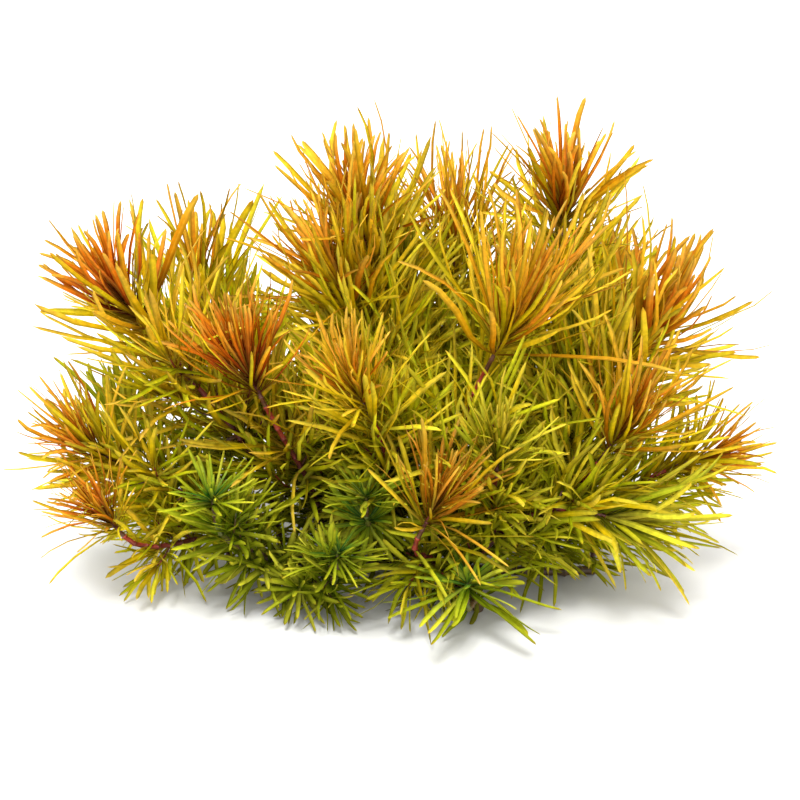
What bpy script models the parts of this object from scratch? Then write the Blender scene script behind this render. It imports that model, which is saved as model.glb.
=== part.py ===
"""Bushy clump of an aquarium ludwigia, cut off flat at the ground that it grew on.

Creeping stems lie along the ground and root there. Upright stems rise from them, arch outwards, and each
ends in a crown of narrow leaves set in whorls. Short side shoots fork from some of the upright stems.
"""

import math
from collections import namedtuple

import bmesh
import bpy
from mathutils import Matrix, Vector
from mathutils.bvhtree import BVHTree

MM = 0.001
UP = Vector((0, 0, 1))
# Grown pieces that meet keep this gap, and no leaf comes nearer to another piece.
GAP = 0.3 * MM
MEASURING_STEPS = 12

# Creeping stems: six-sided, with a flat underside where they are cut and a flat top that shoots stand on.
CREEPER_RADIUS = 2.6 * MM
CREEPER_SIDES = 6
CREEPER_STRETCHES = 5
CREEPER_MIDDLE = CREEPER_RADIUS * math.cos(math.pi / CREEPER_SIDES)

# Upright stems and crowns: four-sided, swollen at each whorl, with the leaves on the slope over the swelling.
STEM_SIDES = 4
FOOT_RADIUS = 1.7 * MM
NECK_RADIUS = 1.3 * MM
STEM_SWELLING = 2.3 * MM
CROWN_SWELLING = 2.7 * MM
HEART_SWELLING = 1.6 * MM
SLOPE_HEIGHT = 1.3 * MM
SLOPE_TOP_SHARE = 0.6
CROWN_LENGTH_SHARE = 0.62
TIP_LENGTH_SHARE = 0.30
# An arching stem's two handles, as shares of its span, and the places of a side shoot's rings on its stalk.
FOOT_HANDLE_SHARE = 0.42
TOP_HANDLE_SHARE = 0.36
STALK_SHARES = (0, 0.3, 0.6, 0.9)

# Leaves: a blade has a keeled middle where it is widest, and a spike tapers all the way.
BLADE_WIDTH = 4.4 * MM
BLADE_KEEL = 0.9 * MM
BLADE_MIDDLE_SHARE = 0.5
LEAF_LIFT = 0.22
ROSETTE_DROOP = 0.8
LOWEST_LEAF = 0.5 * MM
# A leaf's room is its surface set out by this much, and the part past this share of it clears its own node.
LEAF_ROOM = 1.6 * GAP
CLEAR_FROM = 0.3

# The main creeping stem's two ends and the two handles of its curve, in millimetres on the ground. It passes
# over the origin.
MAIN_CREEPER = ((-95, 5), (-40, 15), (40, -15), (95, -5))

# A branch forks from the main creeping stem at a share of the way along it, leaves it square to one side, and
# ends at a point in millimetres on the ground.
Branch = namedtuple("Branch", "share side end")
BRANCH_HANDLE_SHARES = (1 / 3, 0.7)
BRANCHES = {
    "front_left": Branch(0.2, -1, (-62, -40)),
    "front_right": Branch(0.6, -1, (34, -50)),
    "back_left": Branch(0.4, 1, (-56, 60)),
    "back_right": Branch(0.8, 1, (68, 62)),
}

# An upright shoot grows at a share of the way along its creeping stem. Its heart is the growing tip in
# millimetres, aim is the way that the tip points, leaf is the longest leaf in millimetres, and spread opens
# the leaves from a plume to a rosette.
Shoot = namedtuple("Shoot", "name on share heart aim leaf spread tint")
UPRIGHT_SHOOTS = (
    Shoot("left_high", "main", 0.16, (-148, -2, 158), (-6, -1, 9), 58, 1.0, "orange"),
    Shoot("left_middle", "main", 0.08, (-164, -15, 79), (-8, -2, 7), 44, 0.95, "orange"),
    Shoot("left_low", "main", 0.01, (-152, -41, 53), (-5, -2, 8), 34, 1.1, "orange"),
    Shoot("left_plume", "main", 0.28, (-82, -30, 128), (-3.5, -2, 9), 52, 1.05, "orange"),
    Shoot("inner_left", "main", 0.42, (-29, -45, 122), (-4, -2, 9), 42, 1.0, "orange"),
    Shoot("middle_high", "main", 0.36, (-41, 16, 159), (-4.5, -1, 9), 58, 1.05, "orange"),
    Shoot("centre_plume", "main", 0.60, (53, -27, 152), (4, -2, 9), 66, 1.05, "orange"),
    Shoot("right_middle", "main", 0.84, (108, -36, 100), (5, -2, 9), 54, 1.05, "orange"),
    Shoot("right_high", "main", 0.92, (125, 10, 133), (6.5, -1, 9), 65, 1.05, "orange"),
    Shoot("right_far", "main", 0.99, (155, -2, 66), (9, -1, 4), 41, 1.0, "orange"),
    Shoot("front_left", "front_left", 0.62, (-96, -52, 68), (-1, -1.5, 10), 32, 1.2, "green"),
    Shoot("front_low", "front_left", 0.96, (-35, -64, 44), (0, -1.5, 10), 28, 1.3, "green"),
    Shoot("front_rosette", "front_right", 0.96, (27, -77, 42), (0, -1, 10), 40, 1.3, "green"),
    Shoot("front_orange", "front_right", 0.46, (15, -67, 71), (4, -2, 9), 46, 1.1, "orange"),
    Shoot("inner_right", "front_right", 0.20, (42, -55, 95), (0.5, -2, 10), 36, 1.1, "green"),
    Shoot("right_low", "front_right", 0.72, (115, -53, 47), (9, -2.5, -1.5), 50, 0.95, "green"),
    Shoot("top_left", "back_left", 0.25, (-28, 42, 186), (-2.5, -1, 9.5), 56, 1.0, "orange"),
    Shoot("rear_left", "back_left", 0.95, (-112, 78, 146), (-1, 1, 10), 58, 0.8, "orange"),
    Shoot("top_back", "back_right", 0.35, (24, 82, 162), (0, 1, 10), 46, 1.0, "orange"),
    Shoot("top_right", "back_right", 0.15, (78, 50, 194), (0, 0, 10), 56, 1.12, "orange"),
    Shoot("rear_middle", "back_left", 0.60, (-16, 105, 136), (0, 6, 9), 46, 1.0, "orange"),
    Shoot("rear_right", "back_right", 0.95, (111, 96, 139), (5, 5, 9), 50, 1.0, "orange"),
)

# A side shoot forks from an upright stem, just over the whorl at this share of the way up it.
SIDE_SHOOTS = (
    Shoot("inner_low", "inner_left", 0.50, (-21, -54, 69), (0, -2, 10), 28, 1.2, "green"),
    Shoot("left_back", "left_high", 0.50, (-151, 38, 76), (-2, 2, 10), 50, 0.9, "green"),
    Shoot("right_back", "right_high", 0.50, (94, 43, 126), (1, 2, 9), 58, 0.85, "green"),
    Shoot("middle_back", "top_back", 0.50, (-8, 62, 143), (-2, 1, 9), 44, 1.0, "green"),
    Shoot("rear_low_left", "rear_middle", 0.50, (-52, 116, 58), (-3, 8, 5), 38, 1.2, "green"),
    Shoot("rear_low_right", "rear_right", 0.50, (46, 118, 60), (3, 8, 5), 38, 1.2, "green"),
)

# How far up its crown or stem a whorl is, its leaves' angle from the axis in degrees, their length as a share
# of the shoot's longest leaf, and whether every second one is a blade, which bends. The rest are spikes. A
# crown that spreads past this limit is a rosette.
Whorl = namedtuple("Whorl", "height angle length blades")
CROWN_WHORLS = (
    Whorl(0.06, 66, 0.98, True),
    Whorl(0.24, 58, 1.04, False),
    Whorl(0.40, 45, 1.08, False),
    Whorl(0.55, 31, 1.06, False),
    Whorl(0.70, 15, 0.88, False),
)
ROSETTE_LIMIT = 1.15
ROSETTE_WHORLS = (
    Whorl(0.22, 72, 0.98, True),
    Whorl(0.38, 66, 1.00, False),
    Whorl(0.53, 54, 0.80, False),
    Whorl(0.67, 38, 0.55, False),
    Whorl(0.81, 18, 0.35, False),
)
STEM_WHORLS = (
    Whorl(0.14, 62, 0.80, False),
    Whorl(0.32, 60, 0.88, False),
    Whorl(0.50, 57, 0.94, False),
    Whorl(0.68, 54, 0.98, False),
    Whorl(0.86, 52, 1.02, False),
)
WIDEST_ANGLE = 98

# A leaf that would touch a neighbour tries these turns round the stem, in degrees, and shares of its length.
TURNED = ((0, 1.0), (8, 1.0), (-8, 1.0), (14, 0.9), (-14, 0.9))
SHORTENED = ((0, 0.75), (12, 0.6), (-12, 0.6), (0, 0.45), (0, 0.3))

TINTS = {
    "orange": (0.62, 0.26, 0.03),
    "green": (0.30, 0.34, 0.03),
    "stem": (0.24, 0.20, 0.03),
    "creeper": (0.20, 0.10, 0.03),
}


def clear_scene():
    for old in list(bpy.data.objects):
        bpy.data.objects.remove(old, do_unlink=True)


def skin(name, tint):
    """A plant-skin material: matt with a weak sheen, and no metal."""
    material = bpy.data.materials.new(name)
    material.use_nodes = True
    shader = material.node_tree.nodes["Principled BSDF"]
    shader.inputs["Base Color"].default_value = (*TINTS[tint], 1)
    shader.inputs["Roughness"].default_value = 0.45
    shader.inputs["Metallic"].default_value = 0.0
    return material


def mix(low, high, share):
    return low + (high - low) * share


def curve_point(route, share):
    """The point at a share of the way along a cubic curve, given by its ends and handles."""
    start, start_handle, end_handle, end = route
    left = 1 - share
    outer = left**3 * start + share**3 * end
    inner = 3 * left**2 * share * start_handle + 3 * left * share**2 * end_handle
    return outer + inner


def curve_direction(route, share):
    start, start_handle, end_handle, end = route
    left = 1 - share
    outer = left**2 * (start_handle - start) + share**2 * (end - end_handle)
    inner = 2 * left * share * (end_handle - start_handle)
    return (outer + inner).normalized()


def curve_length(route):
    points = [curve_point(route, index / MEASURING_STEPS) for index in range(MEASURING_STEPS + 1)]
    return sum((second - first).length for first, second in zip(points, points[1:]))


def on_ground(x, y):
    """A point of a creeping stem's middle line, at the height that puts its flat underside at z = 0."""
    return Vector((x * MM, y * MM, CREEPER_MIDDLE))


def branch_route(branch, main_route):
    """A creeping branch's curve, which starts a gap away from the side of the main creeping stem."""
    fork = curve_point(main_route, branch.share)
    leave = UP.cross(curve_direction(main_route, branch.share)) * branch.side
    start = fork + leave * (CREEPER_RADIUS + GAP)
    end = on_ground(*branch.end)
    near, far = BRANCH_HANDLE_SHARES
    return [start, start + leave * (end - start).length * near, start.lerp(end, far), end]


def crown_route(shoot):
    """The crown's straight axis, from its foot to the growing tip."""
    heart = Vector(shoot.heart) * MM
    foot = heart - Vector(shoot.aim).normalized() * shoot.leaf * MM * CROWN_LENGTH_SHARE
    return [foot, foot.lerp(heart, 1 / 3), foot.lerp(heart, 2 / 3), heart]


def stem_route(start, leave, shoot, end):
    """An arching stem: it leaves along one direction and reaches the crown along the crown's aim."""
    span = (end - start).length
    aim = Vector(shoot.aim).normalized()
    return [start, start + leave * span * FOOT_HANDLE_SHARE, end - aim * span * TOP_HANDLE_SHARE, end]


def frames_along(route, shares):
    """A frame at each share of the curve, its Z along the curve, carried on without twist."""
    direction = curve_direction(route, shares[0])
    rotation = UP.rotation_difference(direction)
    frames = []
    for share in shares:
        new_direction = curve_direction(route, share)
        rotation = direction.rotation_difference(new_direction) @ rotation
        direction = new_direction
        frames.append(Matrix.Translation(curve_point(route, share)) @ rotation.to_matrix().to_4x4())
    return frames


def level_frames(route, shares):
    """Frames turned so that a creeping stem's top and underside lie flat all the way along it."""
    frames = []
    for share in shares:
        along = curve_direction(route, share)
        turn = Matrix((UP.cross(along), UP, along)).transposed().to_4x4()
        half_side = Matrix.Rotation(math.pi / CREEPER_SIDES, 4, "Z")
        frames.append(Matrix.Translation(curve_point(route, share)) @ turn @ half_side)
    return frames


def sweep(bm, frames, radii, sides):
    """Extrudes a stem from frame to frame. It returns the side faces of each stretch, and the end cap."""
    depth = (frames[1].translation - frames[0].translation).length
    centre = frames[0] @ Matrix.Translation((0, 0, depth / 2))
    bmesh.ops.create_cone(
        bm, cap_ends=True, segments=sides, radius1=radii[0], radius2=radii[1], depth=depth, matrix=centre
    )
    along = frames[0].to_3x3() @ UP
    cap = max(bm.faces, key=lambda face: (face.calc_center_median() - frames[0].translation).dot(along))
    reached = frames[0] @ Matrix.Translation((0, 0, depth))
    bmesh.ops.transform(bm, matrix=frames[1] @ reached.inverted(), verts=list(cap.verts))
    stretches = [side_faces(cap)]
    for index in range(2, len(frames)):
        cap = bmesh.ops.extrude_discrete_faces(bm, faces=[cap])["faces"][0]
        taper = radii[index] / radii[index - 1]
        step = frames[index] @ Matrix.Diagonal((taper, taper, 1, 1)) @ frames[index - 1].inverted()
        bmesh.ops.transform(bm, matrix=step, verts=list(cap.verts))
        stretches.append(side_faces(cap))
    return stretches, cap


def side_faces(cap):
    return [face for edge in cap.edges for face in edge.link_faces if face is not cap]


def blade_corners(middle, sideways, upper):
    """The three corners of a blade's widest section: its two edges, and the keel under it."""
    edge = sideways * BLADE_WIDTH / 2
    return [middle + edge, middle - edge, middle - upper * BLADE_KEEL]


def matched(base, corners):
    """The corners in the turn that joins each to the base corner most in line with it."""
    foot = sum(base, Vector()) / 3
    centre = sum(corners, Vector()) / 3

    def agreement(turn):
        turned = corners[turn:] + corners[:turn]
        return sum((b - foot).normalized().dot((c - centre).normalized()) for b, c in zip(base, turned))

    best = max(range(3), key=agreement)
    return corners[best:] + corners[:best]


def sleeve(base, corners, tip):
    """A leaf's own surface set out by the room that it needs, to test against its neighbours."""

    def set_out(points):
        centre = sum(points, Vector()) / 3
        return [point + (point - centre).normalized() * LEAF_ROOM for point in points]

    foot = sum(base, Vector()) / 3
    points = set_out(base) + set_out(corners) + [tip + (tip - foot).normalized() * LEAF_ROOM]
    walls = [(0, 1, 4), (0, 4, 3), (1, 2, 5), (1, 5, 4), (2, 0, 3), (2, 3, 5)]
    end = [(3, 4, 6), (4, 5, 6), (5, 3, 6)]
    return BVHTree.FromPolygons(points, walls + end)


class Growth:
    """One whorl still to grow: the faces that bear its leaves, the axis there, and the leaves' form."""

    def __init__(self, faces, centre, axis, whorl, shoot):
        self.faces = faces
        self.centre = centre
        self.axis = axis
        self.angle = math.radians(min(whorl.angle * shoot.spread, WIDEST_ANGLE))
        self.length = whorl.length * shoot.leaf * MM
        self.lift = LEAF_LIFT - ROSETTE_DROOP * max(shoot.spread - 1, 0)
        self.blades = whorl.blades

    def leaf(self, base, turn, share, blade):
        """The middle corners and the tip of the leaf that grows from a base, turned round the stem."""
        foot = sum(base, Vector()) / 3
        outward = foot - self.centre
        outward -= self.axis * outward.dot(self.axis)
        outward = Matrix.Rotation(math.radians(turn), 3, self.axis) @ outward.normalized()
        way = self.axis * math.cos(self.angle) + outward * math.sin(self.angle)
        length = self.length * share
        bent = (way + UP * self.lift).normalized()
        if blade:
            sideways = self.axis.cross(outward).normalized()
            middle = foot + way * length * BLADE_MIDDLE_SHARE
            tip = middle + bent * length * (1 - BLADE_MIDDLE_SHARE)
            corners = matched(base, blade_corners(middle, sideways, way.cross(sideways)))
        else:
            tip = foot + bent * length
            corners = [point.lerp(tip, 0.5) for point in base]
        for point in corners + [tip]:
            point.z = max(point.z, LOWEST_LEAF)
        return corners, tip

    def grow(self, bm, face, blade, neighbours):
        """Grows a leaf from a face where it clears the node's other leaves and its neighbours."""
        base = [vert.co.copy() for vert in face.verts]
        own = BVHTree.FromBMesh(bm)
        for turn, share in TURNED + SHORTENED:
            corners, tip = self.leaf(base, turn, share, blade)
            outer_base = [point.lerp(corner, CLEAR_FROM) for point, corner in zip(base, corners)]
            if sleeve(outer_base, corners, tip).overlap(own):
                continue
            whole = sleeve(base, corners, tip)
            if any(whole.overlap(tree) for tree in neighbours):
                continue
            if blade:
                face = bmesh.ops.extrude_discrete_faces(bm, faces=[face])["faces"][0]
                for vert, corner in zip(face.verts, corners):
                    vert.co = corner
            bmesh.ops.poke(bm, faces=[face])["verts"][0].co = tip
            return 1
        return 0


class Node:
    """One solid in the making: its mesh, its tint, and the whorls that it still has to grow."""

    def __init__(self, name, tint):
        self.name = name
        self.tint = tint
        self.bm = bmesh.new()
        self.whorls = []

    def add_whorls(self, stretches, frames, first, whorls, shoot):
        """Readies every second stretch from the first one on, the slopes over the swellings, for leaves."""
        for number, whorl in enumerate(whorls):
            slope = first + 2 * number
            faces = bmesh.ops.triangulate(self.bm, faces=stretches[slope])["faces"]
            centre = frames[slope].translation
            axis = frames[slope].to_3x3() @ UP
            self.whorls.append(Growth(faces, centre, axis, whorl, shoot))

    def finish(self):
        mesh = bpy.data.meshes.new(self.name)
        self.bm.to_mesh(mesh)
        mesh.materials.append(skin(self.name, self.tint))
        bpy.context.scene.collection.objects.link(bpy.data.objects.new(self.name, mesh))


def whorl_rings(whorls, length, swellings):
    """The shares and radii of the pair of rings under and over each whorl's slope."""
    shares = []
    radii = []
    for whorl, swelling in zip(whorls, swellings):
        shares += [whorl.height, whorl.height + SLOPE_HEIGHT / length]
        radii += [swelling, min(NECK_RADIUS, swelling * SLOPE_TOP_SHARE)]
    return shares, radii


def make_creeper(name, route):
    node = Node("creeping_stem_" + name, "creeper")
    shares = [index / CREEPER_STRETCHES for index in range(CREEPER_STRETCHES + 1)]
    sweep(node.bm, level_frames(route, shares), [CREEPER_RADIUS] * len(shares), CREEPER_SIDES)
    return node


def make_stem(shoot, route):
    node = Node("stem_" + shoot.name, "stem")
    swellings = [STEM_SWELLING] * len(STEM_WHORLS)
    shares, radii = whorl_rings(STEM_WHORLS, curve_length(route), swellings)
    shares = [0] + shares + [1]
    radii = [FOOT_RADIUS] + radii + [NECK_RADIUS]
    frames = frames_along(route, shares)
    stretches, _ = sweep(node.bm, frames, radii, STEM_SIDES)
    node.add_whorls(stretches, frames, 1, STEM_WHORLS, shoot)
    return node


def make_crown(name, shoot, route, stalk=None):
    """A leafy shoot tip. A side shoot's stalk is the bare stretch that carries it from its fork."""
    node = Node(name, shoot.tint)
    length = curve_length(route)
    whorls = ROSETTE_WHORLS if shoot.spread > ROSETTE_LIMIT else CROWN_WHORLS
    last = len(whorls) - 1
    swellings = [mix(CROWN_SWELLING, HEART_SWELLING, index / last) for index in range(last + 1)]
    shares, radii = whorl_rings(whorls, length, swellings)
    if stalk:
        frames = frames_along(stalk, STALK_SHARES) + frames_along(route, shares)
        radii = [NECK_RADIUS] * len(STALK_SHARES) + radii
    else:
        frames = frames_along(route, [0] + shares)
        radii = [NECK_RADIUS] + radii
    stretches, cap = sweep(node.bm, frames, radii, STEM_SIDES)
    growing_tip = bmesh.ops.poke(node.bm, faces=[cap])["verts"][0]
    growing_tip.co = route[3] + curve_direction(route, 1) * length * TIP_LENGTH_SHARE
    node.add_whorls(stretches, frames, len(frames) - 2 * len(whorls), whorls, shoot)
    return node


def make_side_shoot(shoot, parent):
    """A crown on a stalk that forks from an upright stem, just over one of its whorls."""
    share = shoot.share + (SLOPE_HEIGHT + 2 * NECK_RADIUS) / curve_length(parent)
    fork = curve_point(parent, share)
    parent_way = curve_direction(parent, share)
    crown = crown_route(shoot)
    out = crown[0] - fork
    out = (out - parent_way * out.dot(parent_way)).normalized()
    start = fork + out * (NECK_RADIUS + 2 * GAP)
    return make_crown("side_shoot_" + shoot.name, shoot, crown, stem_route(start, out, shoot, crown[0]))


def main():
    clear_scene()
    nodes = []
    main_route = [on_ground(x, y) for x, y in MAIN_CREEPER]
    creepers = {"main": main_route}
    creepers.update({name: branch_route(branch, main_route) for name, branch in BRANCHES.items()})
    for name, route in creepers.items():
        nodes.append(make_creeper(name, route))

    stems = {}
    for shoot in UPRIGHT_SHOOTS:
        foot = curve_point(creepers[shoot.on], shoot.share)
        foot.z = 2 * CREEPER_MIDDLE + GAP
        crown = crown_route(shoot)
        top = crown[0] - curve_direction(crown, 0) * GAP
        stems[shoot.name] = stem_route(foot, UP, shoot, top)
        nodes.append(make_stem(shoot, stems[shoot.name]))
        nodes.append(make_crown("crown_" + shoot.name, shoot, crown))
    for shoot in SIDE_SHOOTS:
        nodes.append(make_side_shoot(shoot, stems[shoot.on]))

    trees = [BVHTree.FromBMesh(node.bm) for node in nodes]
    wanted = 0
    grown = 0
    for index, node in enumerate(nodes):
        neighbours = trees[:index] + trees[index + 1 :]
        for whorl in node.whorls:
            for number, face in enumerate(whorl.faces):
                blade = whorl.blades and number % 2 == 0
                wanted += 1
                grown += whorl.grow(node.bm, face, blade, neighbours)
        trees[index] = BVHTree.FromBMesh(node.bm)
        node.finish()
    print(f"{grown} leaves of {wanted} have room")


main()
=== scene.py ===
# %% [markdown]
# # A clump of narrow-leaved ludwigia
#
# This lesson dresses a bushy aquarium plant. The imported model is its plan: creeping stems on the ground,
# upright stems, leafy crowns and side shoots, each a rough solid. Every one of them is replaced here by a
# finished piece that grows along the same line, with thin bent leaves, jointed stems and skins made of
# nodes.

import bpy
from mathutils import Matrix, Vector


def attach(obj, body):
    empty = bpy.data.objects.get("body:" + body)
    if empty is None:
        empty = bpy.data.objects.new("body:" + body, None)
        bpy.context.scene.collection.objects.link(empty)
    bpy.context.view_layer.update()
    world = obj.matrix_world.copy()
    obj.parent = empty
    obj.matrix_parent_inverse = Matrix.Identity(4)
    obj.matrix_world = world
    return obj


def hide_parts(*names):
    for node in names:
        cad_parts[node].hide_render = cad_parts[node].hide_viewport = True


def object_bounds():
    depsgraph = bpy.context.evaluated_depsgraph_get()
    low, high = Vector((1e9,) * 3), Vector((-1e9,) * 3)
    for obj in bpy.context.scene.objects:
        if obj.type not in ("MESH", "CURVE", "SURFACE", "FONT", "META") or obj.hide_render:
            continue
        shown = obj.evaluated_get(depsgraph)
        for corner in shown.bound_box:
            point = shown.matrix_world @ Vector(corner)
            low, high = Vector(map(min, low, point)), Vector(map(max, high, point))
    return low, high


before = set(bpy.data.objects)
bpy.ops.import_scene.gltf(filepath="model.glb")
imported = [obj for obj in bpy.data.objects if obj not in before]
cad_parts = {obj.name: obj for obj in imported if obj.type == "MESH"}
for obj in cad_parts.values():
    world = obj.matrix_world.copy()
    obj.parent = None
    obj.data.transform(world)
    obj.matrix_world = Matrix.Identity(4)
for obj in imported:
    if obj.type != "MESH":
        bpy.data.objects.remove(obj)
plan_box = [list(corner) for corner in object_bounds()]
print("the plan holds", len(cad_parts), "nodes")

# %% Libraries and units
# There is one source of chance, and its seed is fixed, so every run grows the same plant.
import math
from collections import namedtuple

import bpy
import numpy as np
from mathutils import Vector

MM = 0.001
TINY = 1e-6
UP = np.array((0.0, 0.0, 1.0))
chance = np.random.default_rng(7)

# %% [markdown]
# ## Where everything grows
#
# A clump like this comes from a few creeping stems. They lie on the ground, fork, and send up a shoot
# every few centimetres. So the whole plant is a short list of lines: the creeping stems, and for each
# shoot the place where it starts, the point that its growing tip has reached, and the way the tip looks.
# The numbers are the plan's own, in millimetres, and one more is added for the looks: how red the shoot
# has turned in the light.

# %% The creeping stems
MAIN_CREEPER = ((-95, 5), (-40, 15), (40, -15), (95, -5))
Branch = namedtuple("Branch", "share side end")
BRANCH_HANDLE_SHARES = (1 / 3, 0.7)
BRANCHES = {
    "front_left": Branch(0.2, -1, (-62, -40)),
    "front_right": Branch(0.6, -1, (34, -50)),
    "back_left": Branch(0.4, 1, (-56, 60)),
    "back_right": Branch(0.8, 1, (68, 62)),
}
CREEPER_RADIUS = 2.6 * MM
CREEPER_MIDDLE = CREEPER_RADIUS * math.cos(math.pi / 6)
GAP = 0.3 * MM

# %% The upright shoots
# The heart is the growing tip, aim is the way it looks, leaf is its longest leaf, and spread opens its
# leaves from a plume to a rosette. Red is how far it has turned red, and below zero it is how green its
# heart has stayed.
Shoot = namedtuple("Shoot", "name on share heart aim leaf spread tint red")
UPRIGHT_SHOOTS = (
    Shoot("left_high", "main", 0.16, (-148, -2, 158), (-6, -1, 9), 58, 1.0, "orange", 1.15),
    Shoot("left_middle", "main", 0.08, (-164, -15, 79), (-8, -2, 7), 44, 0.95, "orange", 0.5),
    Shoot("left_low", "main", 0.01, (-152, -41, 53), (-5, -2, 8), 34, 1.1, "orange", 0.6),
    Shoot("left_plume", "main", 0.28, (-82, -30, 128), (-3.5, -2, 9), 52, 1.05, "orange", 1.3),
    Shoot("inner_left", "main", 0.42, (-29, -45, 122), (-4, -2, 9), 42, 1.0, "orange", 0.25),
    Shoot("middle_high", "main", 0.36, (-41, 16, 159), (-4.5, -1, 9), 58, 1.05, "orange", 0.25),
    Shoot("centre_plume", "main", 0.60, (53, -27, 152), (4, -2, 9), 66, 1.05, "orange", 0.25),
    Shoot("right_middle", "main", 0.84, (108, -36, 100), (5, -2, 9), 54, 1.05, "orange", 0.3),
    Shoot("right_high", "main", 0.92, (125, 10, 133), (6.5, -1, 9), 65, 1.05, "orange", 0.5),
    Shoot("right_far", "main", 0.99, (155, -2, 66), (9, -1, 4), 41, 1.0, "orange", 0.35),
    Shoot("front_left", "front_left", 0.62, (-96, -52, 68), (-1, -1.5, 10), 32, 1.2, "green", -1.0),
    Shoot("front_low", "front_left", 0.96, (-35, -64, 44), (0, -1.5, 10), 28, 1.3, "green", -1.0),
    Shoot("front_rosette", "front_right", 0.96, (27, -77, 42), (0, -1, 10), 40, 1.3, "green", -0.9),
    Shoot("front_orange", "front_right", 0.46, (15, -67, 71), (4, -2, 9), 46, 1.1, "orange", 0.5),
    Shoot("inner_right", "front_right", 0.20, (42, -55, 95), (0.5, -2, 10), 36, 1.1, "green", 0.3),
    Shoot("right_low", "front_right", 0.72, (115, -53, 47), (9, -2.5, -1.5), 50, 0.95, "green", 0.3),
    Shoot("top_left", "back_left", 0.25, (-28, 42, 186), (-2.5, -1, 9.5), 56, 1.0, "orange", 0.5),
    Shoot("rear_left", "back_left", 0.95, (-112, 78, 146), (-1, 1, 10), 58, 0.8, "orange", 0.05),
    Shoot("top_back", "back_right", 0.35, (24, 82, 162), (0, 1, 10), 46, 1.0, "orange", 0.35),
    Shoot("top_right", "back_right", 0.15, (78, 50, 194), (0, 0, 10), 56, 1.12, "orange", 0.45),
    Shoot("rear_middle", "back_left", 0.60, (-16, 105, 136), (0, 6, 9), 46, 1.0, "orange", 0.5),
    Shoot("rear_right", "back_right", 0.95, (111, 96, 139), (5, 5, 9), 50, 1.0, "orange", 0.35),
)

# %% The side shoots, which fork from upright stems
SIDE_SHOOTS = (
    Shoot("inner_low", "inner_left", 0.50, (-21, -54, 69), (0, -2, 10), 28, 1.2, "green", -0.8),
    Shoot("left_back", "left_high", 0.50, (-151, 38, 76), (-2, 2, 10), 50, 0.9, "green", 0.1),
    Shoot("right_back", "right_high", 0.50, (94, 43, 126), (1, 2, 9), 58, 0.85, "green", 0.1),
    Shoot("middle_back", "top_back", 0.50, (-8, 62, 143), (-2, 1, 9), 44, 1.0, "green", 0.1),
    Shoot("rear_low_left", "rear_middle", 0.50, (-52, 116, 58), (-3, 8, 5), 38, 1.2, "green", -0.6),
    Shoot("rear_low_right", "rear_right", 0.50, (46, 118, 60), (3, 8, 5), 38, 1.2, "green", -0.6),
)
print(len(UPRIGHT_SHOOTS), "upright shoots and", len(SIDE_SHOOTS), "side shoots")

# %% [markdown]
# ## Lines to grow along
#
# A stem leaves the ground straight up and ends along its tip's aim, so one Bezier curve describes it: two
# ends and two handles. Blender's own curve object is the same kind of curve, which the stems use later.
# Leaves need points on it too, spaced by true length, so a few short functions work those out.

# %% Points and directions on a Bezier curve
def unit(vectors):
    vectors = np.asarray(vectors, float)
    return vectors / np.linalg.norm(vectors, axis=-1, keepdims=True)


def curve_point(route, share):
    share = np.asarray(share, float)[..., None]
    left = 1 - share
    outer = left**3 * route[0] + share**3 * route[3]
    inner = 3 * left**2 * share * route[1] + 3 * left * share**2 * route[2]
    return outer + inner


def curve_direction(route, share):
    share = np.asarray(share, float)[..., None]
    left = 1 - share
    outer = left**2 * (route[1] - route[0]) + share**2 * (route[3] - route[2])
    inner = 2 * left * share * (route[2] - route[1])
    return unit(outer + inner)


# %% Even steps by true length
MEASURING_STEPS = 200


def measured(route):
    """The curve's shares in small steps, and the length reached at each."""
    shares = np.linspace(0, 1, MEASURING_STEPS + 1)
    points = curve_point(route, shares)
    reached = np.concatenate([[0], np.cumsum(np.linalg.norm(np.diff(points, axis=0), axis=1))])
    return shares, reached


def curve_length(route):
    return measured(route)[1][-1]


def shares_at(route, length_shares):
    """The curve's shares that lie at these shares of its true length."""
    shares, reached = measured(route)
    return np.interp(np.asarray(length_shares) * reached[-1], reached, shares)


# %% The routes of creeping stems and stems
FOOT_HANDLE_SHARE = 0.42
TOP_HANDLE_SHARE = 0.36


def on_ground(x, y):
    return np.array((x * MM, y * MM, CREEPER_MIDDLE))


def branch_route(branch, main_route):
    """A branch leaves the main creeping stem square to it, and bends round to its end."""
    fork = curve_point(main_route, branch.share)
    leave = np.cross(UP, curve_direction(main_route, branch.share)) * branch.side
    start = fork + leave * (CREEPER_RADIUS + GAP)
    end = on_ground(*branch.end)
    near, far = BRANCH_HANDLE_SHARES
    reach = np.linalg.norm(end - start)
    return np.array([start, start + leave * reach * near, start + (end - start) * far, end])


def stem_route(start, leave, shoot, end):
    span = np.linalg.norm(end - start)
    top_handle = end - unit(shoot.aim) * span * TOP_HANDLE_SHARE
    return np.array([start, start + leave * span * FOOT_HANDLE_SHARE, top_handle, end])


# %% The routes of crowns
# A crown is straight. Its leafy part ends below its tip, and lower still in one rosette that lies deep.
CROWN_LENGTH_SHARE = 0.62
HEART_SHARE = 0.72
LOW_HEARTS = {"front_rosette": 0.46}


def crown_route(shoot):
    heart = np.array(shoot.heart) * MM
    foot = heart - unit(shoot.aim) * shoot.leaf * MM * CROWN_LENGTH_SHARE
    return np.array([foot, foot + (heart - foot) / 3, foot + (heart - foot) * 2 / 3, heart])


def heart_share(shoot):
    """How far up its route a crown's leafy part ends."""
    return LOW_HEARTS.get(shoot.name, HEART_SHARE)


def up_to_heart(shoot):
    """The part of a crown's route that carries leaves."""
    route = crown_route(shoot)
    return route[0] + (route - route[0]) * heart_share(shoot)


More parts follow.
